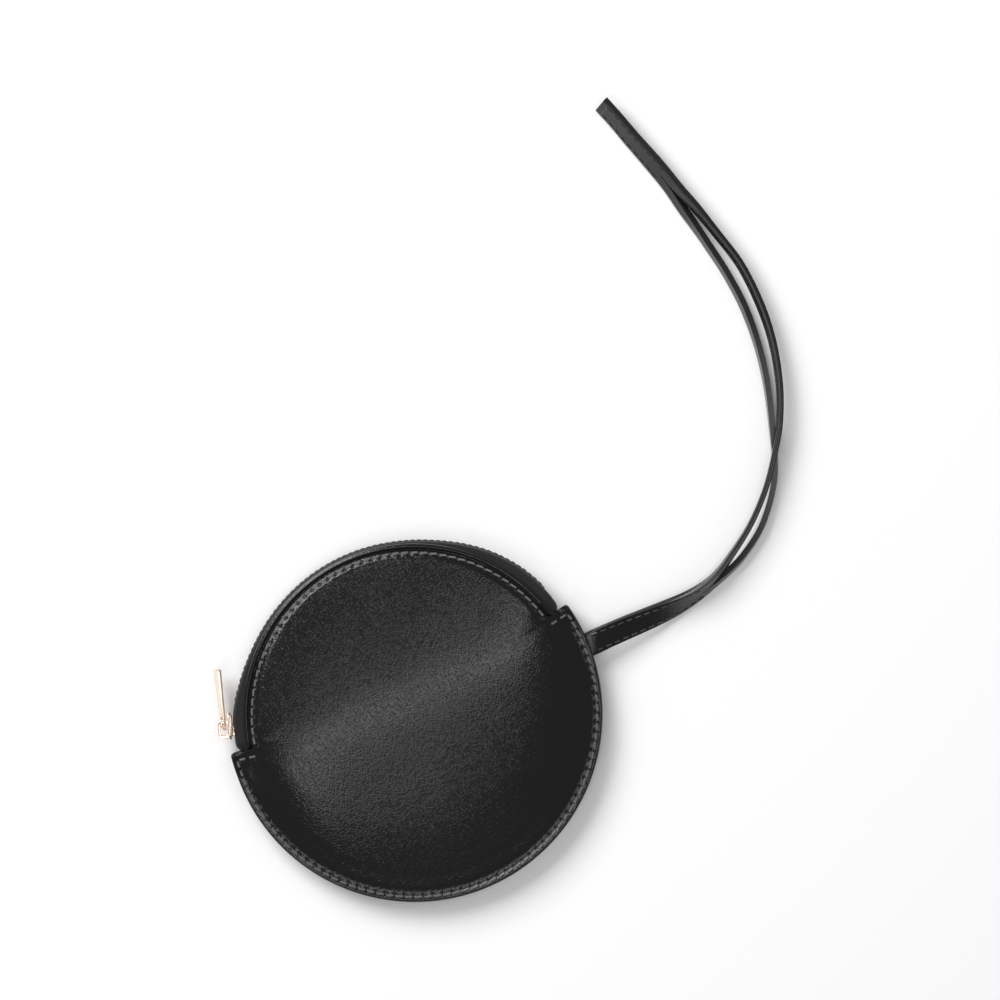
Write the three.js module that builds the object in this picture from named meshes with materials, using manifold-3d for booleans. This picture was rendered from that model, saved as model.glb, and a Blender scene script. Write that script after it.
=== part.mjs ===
// A round leather zip pouch with a slit wrist strap, in millimetres, +Z up.
// It lies on its back panel. The origin is the middle of the flat face that it rests on.
// Angles are in degrees round the pouch, counter-clockwise from +X as seen from above.

import * as THREE from "three";
import { mergeVertices } from "three/addons/utils/BufferGeometryUtils.js";
import Module from "manifold-3d";

const wasm = await Module();
wasm.setup();

// Pieces that touch on the real pouch are modelled this far apart.
const clearance = 0.3;

const pouch = {
  radius: 57.5, // to the sewn edge
  thickness: 17, // from the table to the crown of the front panel
  seamHeight: 7.2, // of the plane where the two panels are sewn together
  leather: 1.3,
  shoulder: 5.3, // width of the margin that slopes down to the edge beside the zip
  bendAngle: 22, // the front is bent along a line between the two notches
  bendOffset: 8, // of that line from the middle
  bendWidth: 10, // half the width of the round bend
  lowerSlope: 7, // degrees that the front slopes down from it to the sewn edge
  upperSlope: 4.5, // and towards the zip
  gripMargin: 0.3, // share of the margin over which the panels rise to the bulge over the strap
};

const zip = {
  startAngle: 36,
  endAngle: 192,
  setBack: 5.2, // the panels are cut this much smaller beside the zip
  notchWidth: 1,
  notchBlend: 9, // degrees over which the sewn edge closes beside a notch
  reach: 3.6, // how far the teeth stand out past the panels, where they stand out most
  stand: 4.4, // from the seam plane to a tape at the panel's edge, where the pouch is open widest
  tape: 1,
  tapeBend: 0.6, // radius of the bend where a tape turns down to the teeth
  tapeDrop: 0.66, // the least height by which it comes down to them
  bareEnd: 7.5, // length at the first end that has tape but no teeth
  toothPitch: 3.86,
  toothWidth: 1.6,
  toothDepth: 1.7,
  toothTip: 0.9, // how far a tooth passes the middle of the row
  spineDepth: 1.1,
  spineHeight: 0.7,
  chainWidth: 3.8,
};

const slider = {
  angle: 183.7,
  length: 8.6,
  mouthWidth: 7.2,
  tailWidth: 5.8,
  innerWidth: 4.4,
  plate: 0.8,
  post: 2.4,
  postWidth: 1.6,
  flange: 0.7,
  flangeLength: 6.9,
  crownLength: 5.8,
  crownWidth: 1.2,
  crownWire: 0.7,
  crownOffset: 0.9, // from the slider's middle towards its mouth
};

const pull = {
  length: 18.5, // from the pivot to the tip
  width: 4.2,
  thickness: 1.3,
  eyeLength: 3.8,
  eyeBar: 0.7,
  rail: 0.7,
  roll: 18, // its outer face looks up by this much
  lean: 2.5, // from the zip's direction, away from the pouch
};

const strap = {
  angle: 21.8, // where it leaves the seam
  length: 213, // from the pouch's edge to the tip
  width: 7.5,
  thickness: 1.8,
  tuck: 6.5, // length held between the panels
  droop: 34, // length over which it comes down to the table
  slitStart: 38,
  slitLength: 147,
  slit: 0.3,
  parting: 16, // length over which the strips part from each other at each end of the slit
  tableGap: 0.05,
};

// How the panels are dished. Each ring lies on a share of the field's radius or, past it, on a share
// of the margin between field and edge. A rise of 1 is on the bent front or on the table, 0 at the edge.
// Soften spreads the change of form at a notch over more of the ring, in shares of zip.notchBlend.
const rings = [
  { field: 0, margin: 0, soften: 8, frontSewn: 1, frontZip: 1, backSewn: 1, backZip: 1 },
  { field: 0.28, margin: 0, soften: 8, frontSewn: 1, frontZip: 1, backSewn: 1, backZip: 1 },
  { field: 0.52, margin: 0, soften: 7, frontSewn: 0.995, frontZip: 0.995, backSewn: 1, backZip: 1 },
  { field: 0.72, margin: 0, soften: 5.5, frontSewn: 0.95, frontZip: 0.95, backSewn: 1, backZip: 1 },
  { field: 0.87, margin: 0, soften: 4, frontSewn: 0.81, frontZip: 0.84, backSewn: 0.93, backZip: 0.96 },
  { field: 1, margin: 0, soften: 2.4, frontSewn: 0.56, frontZip: 0.6, backSewn: 0.7, backZip: 0.75 },
  { field: 1, margin: 0.3, soften: 1.2, frontSewn: 0.35, frontZip: 0.4, backSewn: 0.3, backZip: 0.5 },
  { field: 1, margin: 0.56, soften: 0.4, frontSewn: 0.17, frontZip: 0.2, backSewn: 0, backZip: 0.25 },
  { field: 1, margin: 0.8, soften: 0, frontSewn: 0.04, frontZip: 0.02, backSewn: 0, backZip: 0.05 },
  { field: 1, margin: 1, soften: 0, frontSewn: 0, frontZip: 0, backSewn: 0, backZip: 0 },
];
const tapeRings = [6, 7, 8];

// How the zip runs from its first end, beside the strap, to its last, at the slider.
// Reach and stand are shares of zip.reach and zip.stand.
const zipRun = [
  { along: 0, reach: 0.86, stand: 0.42 },
  { along: 0.02, reach: 0.9, stand: 0.55 },
  { along: 0.04, reach: 0.94, stand: 0.67 },
  { along: 0.09, reach: 0.95, stand: 0.69 },
  { along: 0.16, reach: 0.85, stand: 0.75 },
  { along: 0.24, reach: 0.6, stand: 0.87 },
  { along: 0.31, reach: 0.37, stand: 0.96 },
  { along: 0.42, reach: 0.26, stand: 1 },
  { along: 0.52, reach: 0.26, stand: 1 },
  { along: 0.66, reach: 0.29, stand: 1 },
  { along: 0.77, reach: 0.38, stand: 0.95 },
  { along: 0.86, reach: 0.64, stand: 0.86 },
  { along: 0.92, reach: 0.94, stand: 0.77 },
  { along: 0.95, reach: 1, stand: 0.74 },
  { along: 0.98, reach: 1, stand: 0.7 },
  { along: 1, reach: 1, stand: 0.45 },
];

// How the strap runs. Along is a share of its length. The two strips beside the slit part sideways by
// shares of its width, to the left of its direction. At a roll of 90 it stands on its edge.
const strapRun = [
  { along: 0, heading: 21.8, roll: 0, upper: 0, lower: 0 },
  { along: 0.025, heading: 21.4, roll: 20, upper: 0.04, lower: 0.04 },
  { along: 0.071, heading: 20.5, roll: 29, upper: 0.09, lower: 0.09 },
  { along: 0.117, heading: 22.5, roll: 41, upper: 0.13, lower: 0.13 },
  { along: 0.166, heading: 31, roll: 60, upper: 0.17, lower: 0.16 },
  { along: 0.215, heading: 44, roll: 73, upper: 0.28, lower: 0.09 },
  { along: 0.266, heading: 57, roll: 81, upper: 0.34, lower: -0.03 },
  { along: 0.315, heading: 68, roll: 85, upper: 0.29, lower: -0.12 },
  { along: 0.366, heading: 77.5, roll: 88, upper: 0.19, lower: -0.1 },
  { along: 0.413, heading: 86, roll: 90, upper: 0.06, lower: 0.02 },
  { along: 0.461, heading: 92, roll: 93, upper: -0.13, lower: 0.15 },
  { along: 0.514, heading: 97, roll: 97, upper: -0.22, lower: 0.2 },
  { along: 0.574, heading: 104, roll: 101, upper: -0.24, lower: 0.25 },
  { along: 0.632, heading: 111, roll: 105, upper: -0.2, lower: 0.29 },
  { along: 0.689, heading: 117, roll: 105, upper: -0.14, lower: 0.38 },
  { along: 0.751, heading: 123, roll: 107, upper: 0.08, lower: 0.46 },
  { along: 0.814, heading: 128.5, roll: 118, upper: 0.22, lower: 0.4 },
  { along: 0.868, heading: 131, roll: 122, upper: 0.25, lower: 0.26 },
  { along: 0.928, heading: 133.5, roll: 119, upper: 0.22, lower: 0.22 },
  { along: 0.975, heading: 136, roll: 118, upper: 0.12, lower: 0.12 },
  { along: 1, heading: 137, roll: 119, upper: 0.07, lower: 0.07 },
];
const strapSteps = 72;

// The widest steps between the columns of a panel's faces, in degrees.
const columnStep = { zip: 5, notch: 3, sewn: 6, strap: 2.2 };

const up = new THREE.Vector3(0, 0, 1);
const zipEdge = pouch.radius - zip.setBack;
const fieldRadius = zipEdge - pouch.shoulder;

// A lookup that runs smoothly through the rows of a table.
function smooth(table, columns) {
  const values = table.flatMap((row) => columns.map((name) => row[name]));
  return new THREE.CubicInterpolant(table.map((row) => row.along), values, columns.length);
}

const zipLookup = smooth(zipRun, ["reach", "stand"]);
const strapLookup = smooth(strapRun, ["heading", "roll", "upper", "lower"]);

function polar(radius, angle, height) {
  const turn = THREE.MathUtils.degToRad(angle);
  return new THREE.Vector3(radius * Math.cos(turn), radius * Math.sin(turn), height);
}

function degreesOfArc(length, radius) {
  return THREE.MathUtils.radToDeg(length / radius);
}

// Where an angle lies along the zip: 0 and 1 are its ends, and the sewn edge lies outside them.
function zipShare(angle) {
  const turned = THREE.MathUtils.euclideanModulo(angle - zip.startAngle + 90, 360) - 90;
  return turned / (zip.endAngle - zip.startAngle);
}

function zipAt(angle) {
  const along = THREE.MathUtils.clamp(zipShare(angle), 0, 1);
  const [reach, stand] = zipLookup.evaluate(along);
  return { reach: reach * zip.reach, stand: stand * zip.stand };
}

function besideZip(angle) {
  const share = zipShare(angle);
  return share > 0 && share < 1;
}

function edgeRadius(angle) {
  return besideZip(angle) ? zipEdge : pouch.radius;
}

// How many degrees an angle lies outside the zip, past the nearer of its ends. Negative beside it.
function pastZip(angle) {
  const share = zipShare(angle);
  return Math.max(-share, share - 1) * (zip.endAngle - zip.startAngle);
}

// From 0 on the sewn edge to 1 beside the zip.
function openness(angle, soften) {
  const inside = -soften * zip.notchBlend;
  const outside = (1 + soften) * zip.notchBlend;
  return 1 - THREE.MathUtils.smoothstep(pastZip(angle), inside, outside);
}

// Height of a panel's edge, at the middle of its leather, above the seam plane. The rings inside the
// edge follow it more softly, and only the margin follows the strap.
function edgeLift(angle, ring) {
  const sewn = pouch.leather / 2 + clearance / 2;
  const overTape = zipAt(angle).stand + zip.tape / 2 + clearance + pouch.leather / 2;
  const overStrap = strap.thickness / 2 + clearance + pouch.leather / 2;
  const half = strapHalfAngle();
  const fromStrap = Math.abs((angle % 360) - strap.angle);
  const beside = 1 - THREE.MathUtils.smoothstep(fromStrap, half, half * 2);
  const grip = beside * THREE.MathUtils.smoothstep(ring.margin, 0, pouch.gripMargin);
  const lift = THREE.MathUtils.lerp(sewn, overTape, openness(angle, ring.soften));
  return Math.max(lift, THREE.MathUtils.lerp(sewn, overStrap, grip));
}

function strapHalfAngle() {
  return degreesOfArc(strap.width / 2 + 4 * clearance, pouch.radius);
}

// Height of the bent front, which slopes down on both sides of its bend.
function bentHeight(x, y) {
  const turn = THREE.MathUtils.degToRad(pouch.bendAngle);
  const across = y * Math.cos(turn) - x * Math.sin(turn) - pouch.bendOffset;
  const slope = THREE.MathUtils.degToRad(across < 0 ? pouch.lowerSlope : pouch.upperSlope);
  return pouch.thickness - Math.tan(slope) * (Math.hypot(across, pouch.bendWidth) - pouch.bendWidth);
}

// A point on a panel's leather. Depth 0 is its outer face and 1 its inner face.
function panelPoint(side, ring, angle, depth) {
  const edge = edgeRadius(angle);
  const radius = ring.field * fieldRadius + ring.margin * (edge - fieldRadius);
  const open = openness(angle, ring.soften);
  const point = polar(radius, angle, 0);
  const outer = edgeLift(angle, ring) + pouch.leather / 2;
  if (side > 0) {
    const rise = THREE.MathUtils.lerp(ring.frontSewn, ring.frontZip, open);
    const edgeTop = pouch.seamHeight + outer;
    point.z = THREE.MathUtils.lerp(edgeTop, bentHeight(point.x, point.y), rise);
  } else {
    const rise = THREE.MathUtils.lerp(ring.backSewn, ring.backZip, open);
    point.z = (pouch.seamHeight - outer) * (1 - rise);
  }
  point.z -= side * depth * pouch.leather;
  return point;
}

// Angles from one to another in equal steps, without the last.
function spread(from, to, most) {
  const count = Math.ceil((to - from) / most);
  return Array.from({ length: count }, (_, i) => from + ((to - from) * i) / count);
}

const notch = degreesOfArc(zip.notchWidth / 2, pouch.radius);
const bulgeStart = 360 + strap.angle - 2 * strapHalfAngle();
const zipColumns = [
  ...spread(zip.startAngle + notch, zip.endAngle - notch, columnStep.zip),
  zip.endAngle - notch,
];
const panelColumns = [
  ...zipColumns,
  ...spread(zip.endAngle + notch, zip.endAngle + zip.notchBlend, columnStep.notch),
  ...spread(zip.endAngle + zip.notchBlend, bulgeStart, columnStep.sewn),
  ...spread(bulgeStart, 360 + zip.startAngle - notch, columnStep.strap),
  360 + zip.startAngle - notch,
];

// A closed solid from two facing grids of points, rows of equal length. Both grids are read with the
// second on the right of the rows' direction when the first faces up. A wrapped grid closes on itself.
function solidSheet(first, second, wrapped = false) {
  const corners = [];
  const face = (a, b, c) => {
    if (a.distanceTo(b) > 1e-4 && b.distanceTo(c) > 1e-4 && c.distanceTo(a) > 1e-4) corners.push(a, b, c);
  };
  const quad = (a, b, c, d) => {
    face(a, b, c);
    face(a, c, d);
  };
  const rows = first.length - 1;
  const columns = first[0].length;
  const last = wrapped ? columns : columns - 1;
  for (let i = 0; i < rows; i++) {
    for (let j = 0; j < last; j++) {
      const k = (j + 1) % columns;
      quad(first[i][j], first[i + 1][j], first[i + 1][k], first[i][k]);
      quad(second[i][j], second[i][k], second[i + 1][k], second[i + 1][j]);
    }
    if (!wrapped) {
      quad(first[i][0], second[i][0], second[i + 1][0], first[i + 1][0]);
      quad(first[i][last], first[i + 1][last], second[i + 1][last], second[i][last]);
    }
  }
  for (let j = 0; j < last; j++) {
    const k = (j + 1) % columns;
    quad(first[0][j], first[0][k], second[0][k], second[0][j]);
    quad(first[rows][j], second[rows][j], second[rows][k], first[rows][k]);
  }
  return merged(new THREE.BufferGeometry().setFromPoints(corners));
}

// The same geometry with only its positions, and with shared corners made one.
function merged(geometry) {
  const bare = geometry.index ? geometry.toNonIndexed() : geometry;
  bare.deleteAttribute("normal");
  bare.deleteAttribute("uv");
  return mergeVertices(bare, 1e-4);
}

function toManifold(geometry) {
  const closed = merged(geometry);
  return new wasm.Manifold(
    new wasm.Mesh({
      numProp: 3,
      vertProperties: closed.attributes.position.array,
      triVerts: new Uint32Array(closed.index.array),
    }),
  );
}

function union(geometries) {
  const joined = geometries.map(toManifold).reduce((whole, piece) => whole.add(piece));
  const mesh = joined.getMesh();
  const geometry = new THREE.BufferGeometry();
  geometry.setAttribute("position", new THREE.BufferAttribute(mesh.vertProperties, 3));
  geometry.setIndex(new THREE.BufferAttribute(mesh.triVerts, 1));
  return geometry;
}

// The dished leather panel on the front (side 1) or the back (side -1).
function panelGeometry(side) {
  const grid = (depth) =>
    rings.map((ring) => panelColumns.map((angle) => panelPoint(side, ring, angle, depth)));
  const upper = grid(side > 0 ? 0 : 1);
  const lower = grid(side > 0 ? 1 : 0);
  return solidSheet(upper, lower, true);
}

function chainRadius(angle) {
  return zipEdge + zipAt(angle).reach - zip.toothDepth / 2;
}

// The middle of a tape's thickness, from under the panel out to the teeth, as radius and height.
function tapeLine(side, angle) {
  const inset = side * (zip.tape / 2 + clearance);
  const held = tapeRings.map((index) => {
    const point = panelPoint(side, rings[index], angle, 1);
    return new THREE.Vector2(Math.hypot(point.x, point.y), point.z - inset);
  });
  const bend = held[held.length - 1].y;
  const radius = chainRadius(angle);
  const drop = side * zip.tapeBend;
  const toTeeth = zip.chainWidth / 2 + clearance;
  const lowest = Math.min(toTeeth, side * (bend - pouch.seamHeight) - zip.tapeDrop);
  return [
    ...held,
    new THREE.Vector2(radius - zip.tapeBend, bend),
    new THREE.Vector2(radius - zip.tapeBend * (1 - Math.SQRT1_2), bend - drop * (1 - Math.SQRT1_2)),
    new THREE.Vector2(radius, bend - drop),
    new THREE.Vector2(radius, pouch.seamHeight + side * lowest),
  ];
}

// A line of points moved sideways by a distance, to the left of its direction.
function offsetLine(points, distance) {
  return points.map((point, i) => {
    const before = points[Math.max(i - 1, 0)];
    const after = points[Math.min(i + 1, points.length - 1)];
    const along = after.clone().sub(before).normalize();
    return new THREE.Vector2(point.x - along.y * distance, point.y + along.x * distance);
  });
}

function tapeGeometry(side) {
  const grid = (distance) =>
    zipColumns.map((angle) =>
      offsetLine(tapeLine(side, angle), distance).map((p) => polar(p.x, angle, p.y)),
    );
  return solidSheet(grid(-zip.tape / 2), grid(zip.tape / 2));
}

// One row of teeth on its spine. The two rows are half a pitch apart.
function teethGeometry(side) {
  const pitch = degreesOfArc(zip.toothPitch, zipEdge);
  const first = zip.startAngle + degreesOfArc(zip.bareEnd, zipEdge);
  const last = slider.angle;
  const spineTop = zip.chainWidth / 2;
  const columns = [...spread(first, last, 3), last];
  const spineGrid = (height) =>
    columns.map((angle) =>
      [-0.5, 0.5].map((share) =>
        polar(chainRadius(angle) + share * zip.spineDepth, angle, pouch.seamHeight + side * height),
      ),
    );
  const outer = spineGrid(spineTop);
  const inner = spineGrid(spineTop - zip.spineHeight);
  const spine = side > 0 ? solidSheet(inner, outer) : solidSheet(outer, inner);
  const count = Math.floor((last - first) / pitch - 1);
  const height = spineTop + zip.toothTip;
  const teeth = Array.from({ length: count }, (_, i) => {
    const angle = first + pitch * (i + (side > 0 ? 0.5 : 1));
    const tooth = new THREE.BoxGeometry(zip.toothDepth, zip.toothWidth, height);
    tooth.rotateZ(THREE.MathUtils.degToRad(angle));
    const middle = pouch.seamHeight + (side * (spineTop - zip.toothTip)) / 2;
    const place = polar(chainRadius(angle), angle, middle);
    return tooth.translate(place.x, place.y, place.z);
  });
  return union([spine, ...teeth]);
}

// A slider plate, in the slider's own frame: X along the zip to the mouth, Y out from the pouch.
function plateGeometry(mouthWidth, tailWidth, innerFace) {
  const half = slider.length / 2;
  const shape = new THREE.Shape();
  const corner = slider.plate;
  shape.moveTo(-half, -tailWidth / 2 + corner);
  shape.lineTo(-half + corner, -tailWidth / 2);
  shape.lineTo(0, -mouthWidth / 2);
  shape.lineTo(half - corner, -mouthWidth / 2);
  shape.lineTo(half, -mouthWidth / 2 + corner);
  shape.lineTo(half, mouthWidth / 2 - corner);
  shape.lineTo(half - corner, mouthWidth / 2);
  shape.lineTo(0, mouthWidth / 2);
  shape.lineTo(-half + corner, tailWidth / 2);
  shape.lineTo(-half, tailWidth / 2 - corner);
  const plate = new THREE.ExtrudeGeometry(shape, { depth: slider.plate, bevelEnabled: false });
  plate.rotateX(Math.PI / 2);
  return plate.translate(0, innerFace + slider.plate, 0);
}

function box(xSize, ySize, zSize, x, y, z) {
  return new THREE.BoxGeometry(xSize, ySize, zSize).translate(x, y, z);
}

const chainGap = zip.toothDepth / 2 + 1.5 * clearance; // from the row's middle to a plate
const plateFace = chainGap + slider.plate;
const pullRoll = THREE.MathUtils.degToRad(pull.roll);
const eyeRadius = (pull.eyeBar * Math.SQRT1_2) / Math.cos(pullRoll);

// The pull's pivot lies just far enough out for its rolled end to turn inside the crown.
const pivotOut = plateFace + clearance + eyeRadius + (pull.width / 2) * Math.sin(pullRoll);
const crownInside = pivotOut + eyeRadius + (slider.crownWidth / 2) * Math.tan(pullRoll) + clearance;

function sliderGeometry() {
  const outer = plateGeometry(slider.mouthWidth, slider.tailWidth, chainGap);
  const inner = plateGeometry(slider.innerWidth, slider.innerWidth, -chainGap - slider.plate);
  const postMiddle = slider.length / 2 - slider.post;
  const post = box(slider.post, 2 * chainGap + slider.plate, slider.postWidth, postMiddle, 0, 0);
  const flangeReach = chainGap / 2 + slider.plate / 2;
  const flangeMiddle = (slider.tailWidth - slider.flange) / 2;
  const flanges = [-1, 1].map((side) =>
    box(
      slider.flangeLength,
      flangeReach,
      slider.flange,
      0,
      plateFace - flangeReach / 2,
      side * flangeMiddle,
    ),
  );
  const legHeight = crownInside + slider.crownWire - plateFace + slider.plate / 2;
  const legs = [-1, 1].map((side) => {
    const x = slider.crownOffset + (side * (slider.crownLength - slider.crownWire)) / 2;
    const y = crownInside + slider.crownWire - legHeight / 2;
    return box(slider.crownWire, legHeight, slider.crownWidth, x, y, 0);
  });
  const bar = box(
    slider.crownLength,
    slider.crownWire,
    slider.crownWidth,
    slider.crownOffset,
    crownInside + slider.crownWire / 2,
    0,
  );
  return union([outer, inner, post, ...flanges, ...legs, bar]);
}

// The pull, in its own frame: X from the pivot to the tip, Y across its thickness, Z its width.
function pullGeometry() {
  const half = pull.width / 2;
  const shape = new THREE.Shape();
  shape.moveTo(pull.eyeLength, -half);
  shape.lineTo(pull.length - pull.thickness / 2, -half);
  shape.lineTo(pull.length, -half + pull.thickness / 2);
  shape.lineTo(pull.length, half - pull.thickness / 2);
  shape.lineTo(pull.length - pull.thickness / 2, half);
  shape.lineTo(pull.eyeLength, half);
  const blade = new THREE.ExtrudeGeometry(shape, { depth: pull.thickness, bevelEnabled: false });
  blade.rotateX(Math.PI / 2).translate(0, pull.thickness / 2, 0);
  const railLength = pull.eyeLength + pull.eyeBar;
  const rails = [-1, 1].map((side) =>
    box(railLength, pull.eyeBar, pull.rail, pull.eyeLength / 2, 0, side * (half - pull.rail / 2)),
  );
  const eyeBar = box(pull.eyeBar, pull.eyeBar, pull.width, 0, 0, 0);
  return union([blade, ...rails, eyeBar]);
}

// The strap's middle line: from inside the seam along the table to the tip.
function strapStations() {
  const exit = polar(pouch.radius, strap.angle, 0);
  const inward = polar(-strap.tuck, strap.angle, 0);
  const stations = [0, 0.5].map((share) => ({
    distance: strap.tuck * (share - 1),
    place: exit.clone().addScaledVector(inward, 1 - share),
    heading: strap.angle,
    roll: 0,
    upper: 0,
    lower: 0,
  }));
  const place = exit.clone();
  const step = strap.length / strapSteps;
  const turnAtExit = strap.angle - strapRun[0].heading;
  for (let i = 0; i <= strapSteps; i++) {
    const [heading, roll, upper, lower] = strapLookup.evaluate(i / strapSteps);
    stations.push({
      distance: i * step,
      place: place.clone(),
      heading: heading + turnAtExit,
      roll,
      upper,
      lower,
    });
    const [ahead] = strapLookup.evaluate(Math.min((i + 0.5) / strapSteps, 1));
    place.add(polar(step, ahead + turnAtExit, 0));
  }
  return stations;
}

// One half of the strap's width: half 1 is the upper strip and half -1 the lower. The halves overlap
// in the middle where the strap isn't slit.
function strapHalf(half) {
  const grid = (face) =>
    strapStations().map((station) => {
      const roll = THREE.MathUtils.degToRad(station.roll);
      const left = polar(1, station.heading + 90, 0);
      const across = left.clone().multiplyScalar(Math.cos(roll)).addScaledVector(up, Math.sin(roll));
      const normal = left.clone().multiplyScalar(-Math.sin(roll)).addScaledVector(up, Math.cos(roll));
      const resting =
        strap.tableGap +
        (strap.width / 2) * Math.abs(Math.sin(roll)) +
        (strap.thickness / 2) * Math.abs(Math.cos(roll));
      const held = 1 - THREE.MathUtils.smoothstep(station.distance, 0, strap.droop);
      const pastStart = station.distance - strap.slitStart;
      const toEnd = strap.slitLength - pastStart;
      const open = pastStart > 0 && toEnd > 0;
      const parted = THREE.MathUtils.smoothstep(Math.min(pastStart, toEnd), 0, strap.parting);
      const both = (station.upper + station.lower) / 2;
      const part = both + (half * parted * (station.upper - station.lower)) / 2;
      const middle = station.place
        .clone()
        .addScaledVector(left, part * strap.width)
        .setZ(THREE.MathUtils.lerp(resting, pouch.seamHeight, held))
        .addScaledVector(normal, (face * strap.thickness) / 2);
      const innerEdge = open ? strap.slit / 2 : -strap.thickness / 4;
      return [innerEdge, strap.width / 2].map((distance) =>
        middle.clone().addScaledVector(across, half * distance),
      );
    });
  const top = grid(1);
  const bottom = grid(-1);
  return half > 0 ? solidSheet(top, bottom) : solidSheet(bottom, top);
}

const leather = { color: 0x1c1d1e, roughness: 0.45, metalness: 0 };
const tapeCloth = { color: 0x121314, roughness: 0.85, metalness: 0 };
const toothPlastic = { color: 0x17181a, roughness: 0.5, metalness: 0 };
const roseGold = { color: 0xe8c4a0, roughness: 0.22, metalness: 1 };

function part(name, geometry, finish) {
  const faces = geometry.index ? geometry.toNonIndexed() : geometry;
  faces.computeVertexNormals();
  const mesh = new THREE.Mesh(faces, new THREE.MeshStandardMaterial(finish));
  mesh.name = name;
  return mesh;
}

const group = new THREE.Group();
group.add(part("front_panel", panelGeometry(1), leather));
group.add(part("back_panel", panelGeometry(-1), leather));
group.add(part("zip_tape_front", tapeGeometry(1), tapeCloth));
group.add(part("zip_tape_back", tapeGeometry(-1), tapeCloth));
group.add(part("zip_teeth_front", teethGeometry(1), toothPlastic));
group.add(part("zip_teeth_back", teethGeometry(-1), toothPlastic));
group.add(part("wrist_strap", union([strapHalf(1), strapHalf(-1)]), leather));

// The slider's frame has X back along the closed zip and Y out from the pouch.
const sliderFrame = new THREE.Group();
sliderFrame.position.copy(polar(chainRadius(slider.angle), slider.angle, pouch.seamHeight));
sliderFrame.rotation.z = THREE.MathUtils.degToRad(slider.angle - 90);
sliderFrame.add(part("slider_body", sliderGeometry().rotateY(Math.PI), roseGold));

const pullFrame = new THREE.Group();
pullFrame.position.set(-slider.crownOffset, pivotOut, 0);
pullFrame.rotation.z = THREE.MathUtils.degToRad(pull.lean);
const pullMesh = part("zip_pull", pullGeometry(), roseGold);
pullMesh.rotation.x = pullRoll;
pullFrame.add(pullMesh);
sliderFrame.add(pullFrame);
group.add(sliderFrame);

export default group;
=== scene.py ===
# The looks of a round leather zip pouch with a slit wrist strap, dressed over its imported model.
# Blender works in metres. Shapes here are worked out in millimetres and made metres when a piece is done.

import math

import bmesh
import bpy
from mathutils import Matrix, Vector, noise


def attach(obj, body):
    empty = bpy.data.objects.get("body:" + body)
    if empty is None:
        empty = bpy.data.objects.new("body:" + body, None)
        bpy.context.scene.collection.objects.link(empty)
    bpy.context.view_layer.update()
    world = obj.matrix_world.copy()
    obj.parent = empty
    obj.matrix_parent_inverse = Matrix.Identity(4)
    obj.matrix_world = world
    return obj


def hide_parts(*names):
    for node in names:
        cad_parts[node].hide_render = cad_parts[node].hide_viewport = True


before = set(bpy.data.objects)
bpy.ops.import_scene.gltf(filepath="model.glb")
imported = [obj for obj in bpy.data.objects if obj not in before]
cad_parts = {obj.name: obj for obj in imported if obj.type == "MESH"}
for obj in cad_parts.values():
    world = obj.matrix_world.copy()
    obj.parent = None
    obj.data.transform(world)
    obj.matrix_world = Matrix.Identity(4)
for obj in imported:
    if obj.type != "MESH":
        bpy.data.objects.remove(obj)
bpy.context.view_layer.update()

MM = 0.001

# The pouch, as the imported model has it. Lengths are in millimetres. A step round the pouch is in degrees.
POUCH_RADIUS = 57.5
THICKNESS = 17.0
SEAM_HEIGHT = 7.2
LEATHER = 1.3
SHOULDER = 5.3
BEND_ANGLE = math.radians(22.0)
BEND_OFFSET = 8.0
BEND_WIDTH = 10.0
LOWER_SLOPES = (math.tan(math.radians(6.5)), math.tan(math.radians(8.2)))
UPPER_SLOPE = math.tan(math.radians(4.5))
CLEARANCE = 0.3
GRIP_MARGIN = 0.3
# The bulge over the strap's root sinks between these distances from its middle, in halves of its width.
STRAP_BULGE = (0.7, 3.2)
NOTCH_INSIDE = 1.3
NOTCH_OUTSIDE = 1.1
RIM_REACH = 0.6
EDGE_PAINT_OUT = 0.32
EDGE_PAINT_IN = 0.28
EDGE_PAINT_STEP = 0.8

# The zip. Angles are in degrees round the pouch, counter-clockwise from +X.
ZIP_START = 36.0
ZIP_END = 192.0
ZIP_SPAN = ZIP_END - ZIP_START
SET_BACK = 5.2
NOTCH_BLEND = 9.0
ZIP_REACH = 3.6
ZIP_STAND = 4.4
TAPE = 1.0
TAPE_BEND = 0.6
TAPE_DROP = 0.66
BARE_END = 7.5
TOOTH_PITCH = 3.86
TOOTH_WIDTH = 1.6
TOOTH_DEPTH = 1.7
TOOTH_TIP = 0.9
CHAIN_WIDTH = 3.8
ZIP_EDGE = POUCH_RADIUS - SET_BACK
FIELD_RADIUS = ZIP_EDGE - SHOULDER
VISIBLE_TAPE = 0.7
TAPE_END_GAP = 0.12
TAPE_END_ROUND = 2.2
TOOTH_HEAD = 1.25
TOOTH_NECK = 0.8
TOOTH_SOFTNESS = 0.26
CORD_RADIUS = 0.62
CORD_FLATNESS = 0.6
CORD_STEP = 1.2

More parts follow.
